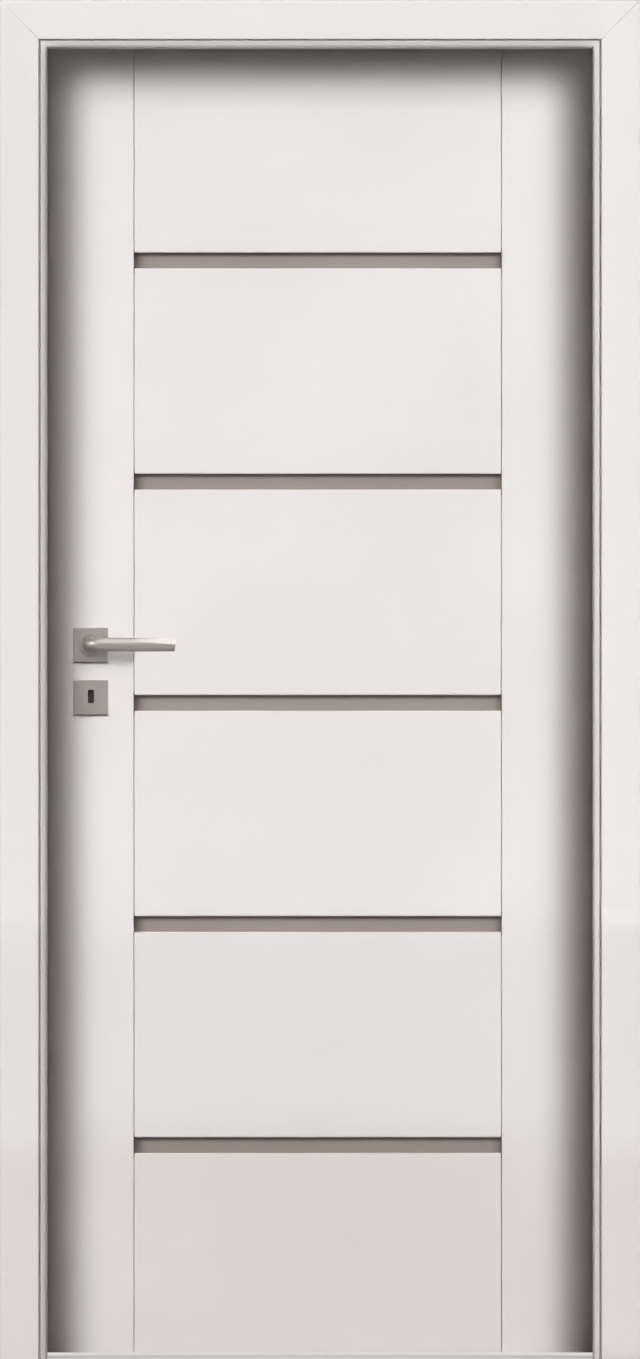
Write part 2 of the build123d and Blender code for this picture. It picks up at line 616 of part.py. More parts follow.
with BuildPart() as rosette:
    with BuildSketch(at_face(LEVER_X, LEVER_AXIS_Z)):
        Rectangle(ROSETTE_SIDE, ROSETTE_SIDE)
    extrude(amount=ROSETTE_THICKNESS)
    chamfer(rosette.faces().sort_by(Axis.Y)[0].edges(), length=ROSETTE_ARRIS)
    with BuildSketch(at_face(LEVER_X, LEVER_AXIS_Z, ROSETTE_THICKNESS)):
        Circle(RING_RADIUS)
    extrude(amount=RING_HEIGHT)
    fillet(rosette.faces().sort_by(Axis.Y)[0].edges(), radius=RING_ARRIS)
    with BuildSketch(at_face(LEVER_X, LEVER_AXIS_Z, ROSETTE_THICKNESS)):
        Circle(RING_BORE)
    extrude(amount=RING_HEIGHT, mode=Mode.SUBTRACT)
    with BuildSketch(at_face(LEVER_X, LEVER_AXIS_Z)):
        Circle(SPIGOT_RADIUS + BEARING_CLEARANCE)
    extrude(amount=ROSETTE_THICKNESS, mode=Mode.SUBTRACT)
save_both(rosette, "rosette")

with BuildPart() as key_plate:
    with BuildSketch(at_face(LEVER_X, KEY_PLATE_Z)):
        Rectangle(ROSETTE_SIDE, ROSETTE_SIDE)
    extrude(amount=ROSETTE_THICKNESS)
    chamfer(key_plate.faces().sort_by(Axis.Y)[0].edges(), length=ROSETTE_ARRIS)
    with BuildSketch(at_face(LEVER_X, KEYHOLE_Z)):
        RectangleRounded(KEYHOLE_WIDTH, KEYHOLE_HEIGHT, KEYHOLE_ROUND)
    extrude(amount=ROSETTE_THICKNESS, mode=Mode.SUBTRACT)
    rim = key_plate.faces().sort_by(Axis.Y)[0].inner_wires()[0]
    chamfer(rim.edges(), length=KEYHOLE_ARRIS)
save_both(key_plate, "key_plate")

# Levers: a stout elbow that thins into a round bar. The bar's end leans, and a flat is sliced off its
# upper side that widens towards the end.
LEVER_Y = LEAF_FRONT - LEVER_STAND_OFF
NECK_START = LEAF_FRONT - ROSETTE_THICKNESS - TURNING_GAP
ELBOW_END = Plane(origin=(LEVER_X + LEVER_BEND, LEVER_Y, LEVER_AXIS_Z), z_dir=(1, 0, 0))
END_TOP = Vector(LEVER_X + LEVER_LENGTH, LEVER_Y, LEVER_AXIS_Z + LEVER_RADIUS)
LEANING_END = Plane(origin=END_TOP, z_dir=Vector(1, 0, 0).rotate(Axis.Y, LEVER_END_LEAN))
FACET_UP = Vector(0, 0, 1).rotate(Axis.X, LEVER_FACET_TURN)
FACET_START = Vector(LEVER_X + LEVER_FACET_START, LEVER_Y, LEVER_AXIS_Z) + FACET_UP * LEVER_RADIUS
FACET_SLOPE = LEVER_FACET_DEPTH / (LEVER_LENGTH - LEVER_FACET_START)
FACET = Plane(origin=FACET_START, z_dir=FACET_UP + Vector(FACET_SLOPE, 0, 0))

with BuildPart() as lever:
    with BuildLine():
        out = Line((LEVER_X, NECK_START, LEVER_AXIS_Z), (LEVER_X, LEVER_Y + LEVER_BEND, LEVER_AXIS_Z))
        TangentArc(out @ 1, ELBOW_END.origin, tangent=out % 1)
    with BuildSketch(Plane(origin=out @ 0, z_dir=out % 0)):
        Circle(NECK_RADIUS)
    with BuildSketch(ELBOW_END):
        Circle(LEVER_RADIUS)
    sweep(multisection=True)
    with BuildSketch(ELBOW_END):
        Circle(LEVER_RADIUS)
    extrude(amount=LEVER_LENGTH - LEVER_BEND)
    split(bisect_by=LEANING_END, keep=Keep.BOTTOM)
    fillet(lever.faces().sort_by(Axis.X)[-1].edges(), radius=LEVER_END_ROUND)
    split(bisect_by=FACET, keep=Keep.BOTTOM)
    with BuildSketch(at_face(LEVER_X, LEVER_AXIS_Z)):
        Circle(SPIGOT_RADIUS)
    extrude(amount=ROSETTE_THICKNESS + TURNING_GAP)
    with BuildSketch(at_face(LEVER_X, LEVER_AXIS_Z)):
        Rectangle(SPINDLE_SIDE, SPINDLE_SIDE)
    extrude(amount=SPINDLE_BITE, mode=Mode.SUBTRACT)
    with Locations((LEVER_X, NECK_START - GRUB_SCREW_OUT, LEVER_AXIS_Z - NECK_RADIUS)):
        Cylinder(GRUB_SCREW_RADIUS, 2 * GRUB_SCREW_DEPTH, mode=Mode.SUBTRACT)
save_both(lever, "lever")

with BuildPart() as spindle:
    box_between(
        (LEVER_X - SPINDLE_SIDE / 2, LEAF_FRONT - SPINDLE_BITE, LEVER_AXIS_Z - SPINDLE_SIDE / 2),
        (LEVER_X + SPINDLE_SIDE / 2, LEAF_BACK + SPINDLE_BITE, LEVER_AXIS_Z + SPINDLE_SIDE / 2),
    )
save(spindle, "spindle")

# Barrel hinges: the lower knuckle and its pin stay on the frame, the upper knuckle lifts off with the leaf
for number, height in enumerate(HINGE_HEIGHTS, start=1):
    frame_middle = height - KNUCKLE_HEIGHT / 2
    with BuildPart() as frame_half:
        with BuildSketch(Plane.XY.offset(height - KNUCKLE_HEIGHT)):
            with Locations((HINGE_X, HINGE_Y)):
                Circle(BARREL_RADIUS)
        extrude(amount=KNUCKLE_HEIGHT)
        fillet(frame_half.edges().group_by(Axis.Z)[0], radius=KNUCKLE_ROUND)
        box_between(
            (ARM_RIGHT - FRAME_ARM_THICKNESS, BACK_FACE, frame_middle - FRAME_ARM_HEIGHT / 2),
            (ARM_RIGHT, HINGE_Y, frame_middle + FRAME_ARM_HEIGHT / 2),
        )
        with Locations((HINGE_X, HINGE_Y, height)):
            Cylinder(HINGE_PIN_RADIUS, HINGE_PIN_LENGTH, align=(Align.CENTER, Align.CENTER, Align.MIN))
        for stud_z in (frame_middle - STUD_SPACING / 2, frame_middle + STUD_SPACING / 2):
            with Locations(Location((ARM_MIDDLE, BACK_FACE, stud_z), (90, 0, 0))):
                Cylinder(FRAME_STUD_RADIUS, FRAME_STUD_LENGTH, align=(Align.CENTER, Align.CENTER, Align.MAX))
    save(frame_half, f"hinge_{number}_frame_part")

    with BuildPart() as leaf_half:
        with BuildSketch(Plane.XY.offset(height + KNUCKLE_GAP)):
            with Locations((HINGE_X, HINGE_Y)):
                Circle(BARREL_RADIUS)
        extrude(amount=KNUCKLE_HEIGHT)
        fillet(leaf_half.edges().group_by(Axis.Z)[-1], radius=KNUCKLE_ROUND)
        for plane in leaf_studs(height):
            with BuildSketch(plane):
                Circle(LEAF_STUD_RADIUS)
            extrude(amount=LEAF_STUD_LENGTH)
        with Locations((HINGE_X, HINGE_Y, height)):
            Cylinder(
                HINGE_PIN_RADIUS + HINGE_PIN_CLEARANCE,
                HINGE_PIN_LENGTH + HINGE_PIN_ROOM,
                align=(Align.CENTER, Align.CENTER, Align.MIN),
                mode=Mode.SUBTRACT,
            )
    save(leaf_half, f"hinge_{number}_leaf_part")
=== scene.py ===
"""A white interior door in its adjustable frame, dressed for its portrait.

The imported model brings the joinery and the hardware. This script gives every surface its finish, adds
the small fixings, and lights the door so that the leaf stands deep in its frame. Metres throughout.
"""

import json
import math

import bpy
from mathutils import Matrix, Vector


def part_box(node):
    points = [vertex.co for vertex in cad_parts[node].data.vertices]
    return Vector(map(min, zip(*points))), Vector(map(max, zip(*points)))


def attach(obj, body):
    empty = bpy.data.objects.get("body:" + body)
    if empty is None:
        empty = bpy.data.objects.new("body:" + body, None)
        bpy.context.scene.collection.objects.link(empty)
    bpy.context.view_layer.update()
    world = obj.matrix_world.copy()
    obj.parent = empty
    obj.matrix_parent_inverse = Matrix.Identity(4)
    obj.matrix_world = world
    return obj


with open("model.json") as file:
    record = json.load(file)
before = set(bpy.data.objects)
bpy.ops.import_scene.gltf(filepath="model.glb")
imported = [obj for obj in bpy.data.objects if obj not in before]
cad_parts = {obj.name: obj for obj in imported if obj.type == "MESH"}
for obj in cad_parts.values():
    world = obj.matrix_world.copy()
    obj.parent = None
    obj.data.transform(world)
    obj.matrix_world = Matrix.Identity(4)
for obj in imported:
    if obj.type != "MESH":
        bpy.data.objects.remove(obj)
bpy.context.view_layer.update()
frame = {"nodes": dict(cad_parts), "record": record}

# Places read from the frame
CASING_LOW, CASING_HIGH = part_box("front_casing_head")
STRIKE_LOW, STRIKE_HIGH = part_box("strike_plate")
FOREND_LOW, FOREND_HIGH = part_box("lock_forend")
FRONT_LEVER_LOW, FRONT_LEVER_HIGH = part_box("lever_front")
BACK_LEVER_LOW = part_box("lever_back")[0]
SPINDLE_LOW, SPINDLE_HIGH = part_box("spindle")
CENTRE_X = (CASING_LOW.x + CASING_HIGH.x) / 2
FRONT_FACE_Y = CASING_LOW.y
LEAF_FRONT_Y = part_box("lock_stile")[0].y
LEVER_X = (SPINDLE_LOW.x + SPINDLE_HIGH.x) / 2
LEVER_Z = (SPINDLE_LOW.z + SPINDLE_HIGH.z) / 2
OPENING_LEFT_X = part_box("lining_lock_side")[1].x
OPENING_RIGHT_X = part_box("lining_hinge_side")[0].x
OPENING_TOP_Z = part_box("lining_head")[0].z


def middle_z(node):
    """The height of a node's middle."""
    low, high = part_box(node)
    return (low.z + high.z) / 2


# Materials
def new_material(name):
    """An empty node material: its tree and its shader, wired to the output."""
    material = bpy.data.materials.new(name)
    material.use_nodes = True
    tree = material.node_tree
    tree.nodes.clear()
    shader = tree.nodes.new("ShaderNodeBsdfPrincipled")
    output = tree.nodes.new("ShaderNodeOutputMaterial")
    tree.links.new(shader.outputs["BSDF"], output.inputs["Surface"])
    return material, tree, shader


def object_noise(tree, scale, detail=2.0, stretch=(1, 1, 1)):
    """Noise on the piece's own coordinates, stretched along its axes where a finish has a direction."""
    place = tree.nodes.new("ShaderNodeTexCoord")
    mapping = tree.nodes.new("ShaderNodeMapping")
    mapping.inputs["Scale"].default_value = stretch
    noise = tree.nodes.new("ShaderNodeTexNoise")
    noise.inputs["Scale"].default_value = scale
    noise.inputs["Detail"].default_value = detail
    tree.links.new(place.outputs["Object"], mapping.inputs["Vector"])
    tree.links.new(mapping.outputs["Vector"], noise.inputs["Vector"])
    return noise.outputs["Fac"]


def spread(tree, value, low, high):
    """Carries a 0 to 1 value over to the range from low to high."""
    node = tree.nodes.new("ShaderNodeMapRange")
    node.inputs["To Min"].default_value = low
    node.inputs["To Max"].default_value = high
    tree.links.new(value, node.inputs["Value"])
    return node.outputs["Result"]


def tint(tree, value, dark, light):
    """A colour between two close shades, led by a 0 to 1 value."""
    ramp = tree.nodes.new("ShaderNodeValToRGB")
    ramp.color_ramp.elements[0].position = 0.3
    ramp.color_ramp.elements[1].position = 0.7
    ramp.color_ramp.elements[0].color = (*dark, 1)
    ramp.color_ramp.elements[1].color = (*light, 1)
    tree.links.new(value, ramp.inputs["Fac"])
    return ramp.outputs["Color"]


def relief(tree, shader, value, strength, distance):
    """Fine relief on the surface's normal."""
    bump = tree.nodes.new("ShaderNodeBump")
    bump.inputs["Strength"].default_value = strength
    bump.inputs["Distance"].default_value = distance
    tree.links.new(value, bump.inputs["Height"])
    tree.links.new(bump.outputs["Normal"], shader.inputs["Normal"])


def white_lacquer():
    """Satin white lacquer, sprayed: faint orange peel and an almost even, slightly warm colour."""
    material, tree, shader = new_material("white_lacquer")
    cloud = object_noise(tree, 3.0)
    peel = object_noise(tree, 900.0, detail=1.0)
    dark, light = (0.80, 0.775, 0.755), (0.83, 0.81, 0.79)
    tree.links.new(tint(tree, cloud, dark, light), shader.inputs["Base Color"])
    tree.links.new(spread(tree, cloud, 0.34, 0.42), shader.inputs["Roughness"])
    shader.inputs["Specular IOR Level"].default_value = 0.35
    relief(tree, shader, peel, 0.03, 0.0002)
    return material


def satin_glass():
    """Etched glass with a grey-brown body."""
    material, tree, shader = new_material("satin_glass")
    cloud = object_noise(tree, 6.0)
    grain = object_noise(tree, 2500.0, detail=1.0)
    dark, light = (0.266, 0.232, 0.211), (0.290, 0.254, 0.234)
    tree.links.new(tint(tree, cloud, dark, light), shader.inputs["Base Color"])
    shader.inputs["Roughness"].default_value = 0.45
    relief(tree, shader, grain, 0.05, 0.0001)
    return material


def satin_nickel():
    """Brushed and lacquered nickel of the lever set."""
    material, tree, shader = new_material("satin_nickel")
    cloud = object_noise(tree, 20.0)
    brushed = object_noise(tree, 300.0, detail=3.0, stretch=(1, 12, 12))
    dark, light = (0.365, 0.327, 0.298), (0.395, 0.356, 0.326)
    tree.links.new(tint(tree, cloud, dark, light), shader.inputs["Base Color"])
    tree.links.new(spread(tree, brushed, 0.34, 0.46), shader.inputs["Roughness"])
    shader.inputs["Metallic"].default_value = 0.5
    relief(tree, shader, brushed, 0.04, 0.0001)
    return material


def satin_steel():
    """Satin stainless steel of the hinges, the lock's forend and bolts, the strike plate and the screws."""
    material, tree, shader = new_material("satin_steel")
    cloud = object_noise(tree, 25.0)
    brushed = object_noise(tree, 260.0, detail=3.0, stretch=(12, 12, 1))
    dark, light = (0.50, 0.485, 0.47), (0.56, 0.545, 0.53)
    tree.links.new(tint(tree, cloud, dark, light), shader.inputs["Base Color"])
    tree.links.new(spread(tree, brushed, 0.28, 0.42), shader.inputs["Roughness"])
    shader.inputs["Metallic"].default_value = 0.85
    relief(tree, shader, brushed, 0.05, 0.0001)
    return material


def dark_lock_steel():
    """Dark passivated steel of the lock case and spindle, seen only through the keyhole."""
    material, tree, shader = new_material("dark_lock_steel")
    spangle = object_noise(tree, 120.0, detail=4.0)
    dark, light = (0.075, 0.064, 0.056), (0.095, 0.082, 0.074)
    tree.links.new(tint(tree, spangle, dark, light), shader.inputs["Base Color"])
    tree.links.new(spread(tree, spangle, 0.55, 0.70), shader.inputs["Roughness"])
    shader.inputs["Metallic"].default_value = 0.6
    relief(tree, shader, spangle, 0.1, 0.0002)
    return material


def seal_rubber():
    """Pale grey extruded seal."""
    material, tree, shader = new_material("seal_rubber")
    grain = object_noise(tree, 600.0, detail=2.0)
    dark, light = (0.50, 0.49, 0.47), (0.56, 0.55, 0.53)
    tree.links.new(tint(tree, grain, dark, light), shader.inputs["Base Color"])
    shader.inputs["Roughness"].default_value = 0.75
    relief(tree, shader, grain, 0.1, 0.0001)
    return material


FINISHES = {
    "white_lacquer": white_lacquer(),
    "satin_glass": satin_glass(),
    "satin_nickel": satin_nickel(),
    "satin_steel": satin_steel(),
    "zinc_plated_steel": dark_lock_steel(),
    "rubber_seal": seal_rubber(),
}

for part in frame["record"]["subparts"]:
    piece = frame["nodes"][part["node"]]
    for place in piece.material_slots:
        place.material = FINISHES[part["material_slot"]]


# Screws, by Geometry Nodes: one screw is made, set on each point and turned to face out of its hole
def node_in(tree, kind, **inputs):
    """A node with its inputs set by name: a value is written, a socket is linked."""
    node = tree.nodes.new(kind)
    for name, value in inputs.items():
        socket = node.inputs[name.replace("_", " ")]
        if isinstance(value, bpy.types.NodeSocket):
            tree.links.new(value, socket)
        else:
            socket.default_value = value
    return node


def moved_up(tree, mesh, height):
    """The mesh, lifted by a height that comes from a socket."""
    lift = node_in(tree, "ShaderNodeCombineXYZ", Z=height)
    return node_in(tree, "GeometryNodeTransform", Geometry=mesh, Translation=lift.outputs[0]).outputs[0]


def share_of(tree, value, factor):
    """A socket's value times a plain number."""
    node = tree.nodes.new("ShaderNodeMath")
    node.operation = "MULTIPLY"
    tree.links.new(value, node.inputs[0])
    node.inputs[1].default_value = factor
    return node.outputs[0]


def cut(tree, mesh, *tools):
    """The mesh with the tools taken out of it."""
    node = tree.nodes.new("GeometryNodeMeshBoolean")
    node.operation = "DIFFERENCE"
    node.solver = "EXACT"
    tree.links.new(mesh, node.inputs["Mesh 1"])
    for tool in tools:
        tree.links.new(tool, node.inputs["Mesh 2"])
    return node.outputs["Mesh"]


def screw_tree(name, sizes, shape):
    """A tree that sets the screw made by shape(tree, given) on every point of the mesh that it gets."""
    tree = bpy.data.node_groups.new(name, "GeometryNodeTree")
    for socket, kind in [("Geometry", "Geometry"), *[(size, "Float") for size in sizes]]:
        tree.interface.new_socket(socket, in_out="INPUT", socket_type=f"NodeSocket{kind}")
    for socket, kind in (("Facing", "Vector"), ("Seed", "Int"), ("Finish", "Material")):
        tree.interface.new_socket(socket, in_out="INPUT", socket_type=f"NodeSocket{kind}")
    tree.interface.new_socket("Geometry", in_out="OUTPUT", socket_type="NodeSocketGeometry")
    given = tree.nodes.new("NodeGroupInput").outputs
    facing = node_in(tree, "FunctionNodeAlignRotationToVector", Vector=given["Facing"])
    facing.axis = "Z"
    chance = tree.nodes.new("FunctionNodeRandomValue")
    chance.data_type = "FLOAT"
    tree.links.new(given["Seed"], chance.inputs["Seed"])
    driven_home = node_in(tree, "ShaderNodeCombineXYZ", Z=share_of(tree, chance.outputs["Value"], math.pi))
    turn = node_in(tree, "FunctionNodeRotateRotation", Rotation=facing.outputs[0])
    turn.rotation_space = "LOCAL"
    tree.links.new(driven_home.outputs[0], turn.inputs["Rotate By"])
    placed = node_in(
        tree,
        "GeometryNodeInstanceOnPoints",
        Points=given["Geometry"],
        Instance=shape(tree, given),
        Rotation=turn.outputs[0],
    )
    real = node_in(tree, "GeometryNodeRealizeInstances", Geometry=placed.outputs[0])
    finished = node_in(tree, "GeometryNodeSetMaterial", Geometry=real.outputs[0], Material=given["Finish"])
    tree.links.new(finished.outputs[0], tree.nodes.new("NodeGroupOutput").inputs[0])
    return tree


# The shank's middle lies this share of its length under the face, so that its top is inside the head
SHANK_DROP = 0.6


def countersunk_screw(tree, given):
    """A countersunk head on a short shank, with a cross recess. Its face is at height 0."""
    head = node_in(
        tree,
        "GeometryNodeMeshCone",
        Vertices=40,
        Radius_Top=given["Head Radius"],
        Radius_Bottom=given["Neck Radius"],
        Depth=given["Head Height"],
    )
    shank = node_in(
        tree,
        "GeometryNodeMeshCylinder",
        Vertices=40,
        Radius=given["Shank Radius"],
        Depth=given["Shank Length"],
    )
    low_head = moved_up(tree, head.outputs["Mesh"], share_of(tree, given["Head Height"], -1))
    low_shank = moved_up(tree, shank.outputs["Mesh"], share_of(tree, given["Shank Length"], -SHANK_DROP))
    body = tree.nodes.new("GeometryNodeMeshBoolean")
    body.operation = "UNION"
    body.solver = "EXACT"
    tree.links.new(low_head, body.inputs["Mesh 2"])
    tree.links.new(low_shank, body.inputs["Mesh 2"])
    length, width, depth = given["Recess Length"], given["Recess Width"], given["Recess Depth"]
    twice = share_of(tree, depth, 2)
    along = node_in(tree, "ShaderNodeCombineXYZ", X=length, Y=width, Z=twice)
    across = node_in(tree, "ShaderNodeCombineXYZ", X=width, Y=length, Z=twice)
    slots = [node_in(tree, "GeometryNodeMeshCube", Size=size.outputs[0]) for size in (along, across)]
    return cut(tree, body.outputs["Mesh"], *[slot.outputs["Mesh"] for slot in slots])


def socket_screw(tree, given):
    """A short grub screw with a hexagon socket. Its face is at height 0."""
    body = node_in(
        tree,
        "GeometryNodeMeshCylinder",
        Vertices=40,
        Radius=given["Radius"],
        Depth=given["Length"],
    )
    socket = node_in(
        tree,
        "GeometryNodeMeshCylinder",
        Vertices=6,
        Radius=given["Socket Radius"],
        Depth=share_of(tree, given["Socket Depth"], 2),
    )
    lowered = moved_up(tree, body.outputs["Mesh"], share_of(tree, given["Length"], -0.5))
    return cut(tree, lowered, socket.outputs["Mesh"])


COUNTERSUNK_SIZES = {
    "Head Radius": 0.0038,
    "Head Height": 0.0018,
    "Neck Radius": 0.0021,
    "Shank Radius": 0.0019,
    "Shank Length": 0.011,
    "Recess Length": 0.0042,
    "Recess Width": 0.0009,
    "Recess Depth": 0.0013,
}
SOCKET_SIZES = {"Radius": 0.0024, "Length": 0.0015, "Socket Radius": 0.00145, "Socket Depth": 0.0011}
COUNTERSUNK_TREE = screw_tree("countersunk_screws", COUNTERSUNK_SIZES, countersunk_screw)
SOCKET_TREE = screw_tree("socket_screws", SOCKET_SIZES, socket_screw)


def screws(name, tree, sizes, points, facing, seed, slot, body):
    """Sets screws on the points, makes them one plain mesh and lets it ride on its body."""
    mesh = bpy.data.meshes.new(f"{name}_points")
    mesh.from_pydata(points, [], [])
    carrier = bpy.data.objects.new(f"{name}_points", mesh)
    bpy.context.scene.collection.objects.link(carrier)
    modifier = carrier.modifiers.new("screws", "NODES")
    modifier.node_group = tree
    values = {**sizes, "Facing": facing, "Seed": seed, "Finish": FINISHES[slot]}
    for item in tree.interface.items_tree:
        if item.in_out == "INPUT" and item.name in values:
            modifier[item.identifier] = values[item.name]
    evaluated = carrier.evaluated_get(bpy.context.evaluated_depsgraph_get())
    plain = bpy.data.meshes.new_from_object(evaluated)
    plain.name = name
    plain.materials.clear()
    plain.materials.append(FINISHES[slot])
    bpy.data.objects.remove(carrier)
    piece = bpy.data.objects.new(name, plain)
    bpy.context.scene.collection.objects.link(piece)
    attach(piece, body)


# How far a screw's face lies under the plate's, and where the screws sit on the strike plate and the forend
HEAD_SUNK = 0.0001
STRIKE_SCREW_RISES = (0.012, 0.0955, 0.168)
FOREND_SCREW_EDGE = 0.013
strike_x = (STRIKE_LOW.x + STRIKE_HIGH.x) / 2
forend_y = (FOREND_LOW.y + FOREND_HIGH.y) / 2
screws(
    "strike_plate_screws",
    COUNTERSUNK_TREE,
    COUNTERSUNK_SIZES,
    [(strike_x, STRIKE_HIGH.y - HEAD_SUNK, STRIKE_LOW.z + rise) for rise in STRIKE_SCREW_RISES],
    facing=(0, 1, 0),
    seed=3,
    slot="satin_steel",
    body="frame",
)
screws(
    "forend_screws",
    COUNTERSUNK_TREE,
    COUNTERSUNK_SIZES,
    [
        (FOREND_LOW.x + HEAD_SUNK, forend_y, z)
        for z in (FOREND_LOW.z + FOREND_SCREW_EDGE, FOREND_HIGH.z - FOREND_SCREW_EDGE)
    ],
    facing=(-1, 0, 0),
    seed=8,
    slot="satin_steel",
    body="leaf",
)

# A grub screw sits in the underside of each lever's neck, this far from the neck's seat in the rosette
GRUB_SCREW_IN = 0.0129
GRUB_SCREW_SUNK = 0.0004
screws(
    "lever_grub_screws",
    SOCKET_TREE,
    SOCKET_SIZES,
    [
        (LEVER_X, FRONT_LEVER_HIGH.y - GRUB_SCREW_IN, FRONT_LEVER_LOW.z + GRUB_SCREW_SUNK),
        (LEVER_X, BACK_LEVER_LOW.y + GRUB_SCREW_IN, BACK_LEVER_LOW.z + GRUB_SCREW_SUNK),
    ],
    facing=(0, 0, -1),
    seed=5,
    slot="satin_steel",
    body="handle",
)


# Camera: far away behind a long lens, square to the door
PHOTO_PIXELS = 1359
PIXEL_SIZE = 0.0015
VIEW_HEIGHT = PHOTO_PIXELS * PIXEL_SIZE
CAMERA_DISTANCE = 40.0
SENSOR = 36.0
camera_data = bpy.data.cameras.new("camera")
camera_data.lens = SENSOR * CAMERA_DISTANCE / VIEW_HEIGHT
camera_data.sensor_width = SENSOR
camera_data.clip_start = 1.0
camera_data.clip_end = 200.0
camera = bpy.data.objects.new("camera", camera_data)
camera.location = (CENTRE_X, FRONT_FACE_Y - CAMERA_DISTANCE, VIEW_HEIGHT / 2)
camera.rotation_euler = (math.radians(90), 0, 0)
bpy.context.scene.collection.objects.link(camera)
bpy.context.scene.camera = camera


# Floor and background
PALE = (1.0, 0.985, 0.97, 1)
BROWN = (1.0, 0.54, 0.39, 1)
SHADE_REACH = 0.35
SHADE_DARKEST = 0.55
FLOOR_HALF = 60.0


def seen_directly(tree):
    """1 for the camera's rays and for those that metal and glass send on, 0 for all others."""
    rays = tree.nodes.new("ShaderNodeLightPath")
    total = rays.outputs["Is Camera Ray"]
    for ray in ("Is Glossy Ray", "Is Transmission Ray"):
        greater = tree.nodes.new("ShaderNodeMath")
        greater.operation = "MAXIMUM"
        tree.links.new(total, greater.inputs[0])
        tree.links.new(rays.outputs[ray], greater.inputs[1])
        total = greater.outputs["Value"]
    return total


def studio_world(seen, given):
    """A pale background for the eye, and a little brown light for the door's dark edges."""
    world = bpy.data.worlds.new("studio")
    world.use_nodes = True
    tree = world.node_tree
    tree.nodes.clear()
    background = tree.nodes.new("ShaderNodeBackground")
    output = tree.nodes.new("ShaderNodeOutputWorld")
    colours = tree.nodes.new("ShaderNodeMix")
    colours.data_type = "RGBA"
    colours.inputs["A"].default_value = BROWN
    colours.inputs["B"].default_value = PALE
    direct = seen_directly(tree)
    tree.links.new(direct, colours.inputs["Factor"])
    tree.links.new(colours.outputs["Result"], background.inputs["Color"])
    tree.links.new(spread(tree, direct, given, seen), background.inputs["Strength"])
    tree.links.new(background.outputs["Background"], output.inputs["Surface"])
    bpy.context.scene.world = world


def near_shade(tree):
    """1 on the open floor, and down to the darkest share where the door stands over it."""
    cover = tree.nodes.new("ShaderNodeAmbientOcclusion")
    cover.inputs["Distance"].default_value = SHADE_REACH
    cover.samples = 16
    return spread(tree, cover.outputs["AO"], SHADE_DARKEST, 1.0)


def studio_floor(seen):
    """A wide pale floor. It takes light and shadow as matt paint does, over a pale glow for the eye."""
    mesh = bpy.data.meshes.new("floor")
    corners = [(x * FLOOR_HALF, y * FLOOR_HALF, 0) for x, y in ((-1, -1), (1, -1), (1, 1), (-1, 1))]
    mesh.from_pydata(corners, [], [(0, 1, 2, 3)])
    floor = bpy.data.objects.new("floor", mesh)
    bpy.context.scene.collection.objects.link(floor)
    material, tree, shader = new_material("floor")
    shader.inputs["Base Color"].default_value = (0.16, 0.157, 0.154, 1)
    shader.inputs["Roughness"].default_value = 1.0
    shader.inputs["Specular IOR Level"].default_value = 0.0
    shader.inputs["Emission Color"].default_value = PALE
    glow = node_in(tree, "ShaderNodeMath")
    glow.operation = "MULTIPLY"
    tree.links.new(spread(tree, seen_directly(tree), 0.0, seen), glow.inputs[0])
    tree.links.new(near_shade(tree), glow.inputs[1])
    tree.links.new(glow.outputs["Value"], shader.inputs["Emission Strength"])
    mesh.materials.append(material)


studio_world(seen=0.66, given=0.096)
studio_floor(seen=0.647)


# Lamps
def lamp(name, place, target, size, watts, beam=180, colour=(1, 1, 1)):
    """A rectangular soft light. A beam under 180 degrees is a grid over its front.

    The lamps aren't reflected in the metal, which shows the pale studio and the glints instead.
    """
    data = bpy.data.lights.new(name, "AREA")
    data.shape = "RECTANGLE"
    data.size, data.size_y = size
    data.energy = watts
    data.spread = math.radians(beam)
    data.color = colour
    light = bpy.data.objects.new(name, data)
    light.location = place
    aim = Vector(target) - Vector(place)
    light.rotation_euler = aim.to_track_quat("-Z", "Y").to_euler()
    light.visible_camera = False
    light.visible_glossy = False
    bpy.context.scene.collection.objects.link(light)
    return light


def linked(name, nodes, state="INCLUDE"):
    """A collection: its lamp lights, or is shaded by, these nodes alone, or with EXCLUDE all others."""
    group = bpy.data.collections.new(name)
    for node in nodes:
        group.objects.link(frame["nodes"][node])
    for member in group.collection_objects:
        member.light_linking.link_state = state
    return group


# A louvred softbox hangs in the opening: short gridded lamps, one over another, that shine down on the
# leaf at a slant. It is smaller than the opening, so its light falls off towards the frame.
SOFTBOX_DISTANCE = 0.16
SOFTBOX_TILT = math.radians(22)
SOFTBOX_BEAM = 33
SOFTBOX_LEFT_INSET = 0.044
SOFTBOX_RIGHT_INSET = 0.045
SOFTBOX_TOP_INSET = 0.052
LOUVRES = 40
LEAF_LEVEL = 3.09
TOP_LOUVRE_SHARE = 0.98
NEUTRAL = (1.0, 0.994, 0.998)
WARM = (1.0, 0.962, 0.948)
TOP_LOUVRE_Z = OPENING_TOP_Z - 0.13
MIDDLE_SHARE = 0.92
LOWER_SHARE = 0.835
UPPER_STRIP_Z = middle_z("glass_strip_2")
LOWER_STRIP_Z = middle_z("glass_strip_1")
BELOW_FLOOR_Z = -0.12


def zone(z):
    """How much of the full level, and in what colour, the photograph shows at a height."""
    if z > UPPER_STRIP_Z:
        return 1.0, NEUTRAL
    if z > LOWER_STRIP_Z:
        return MIDDLE_SHARE, NEUTRAL
    return LOWER_SHARE, WARM


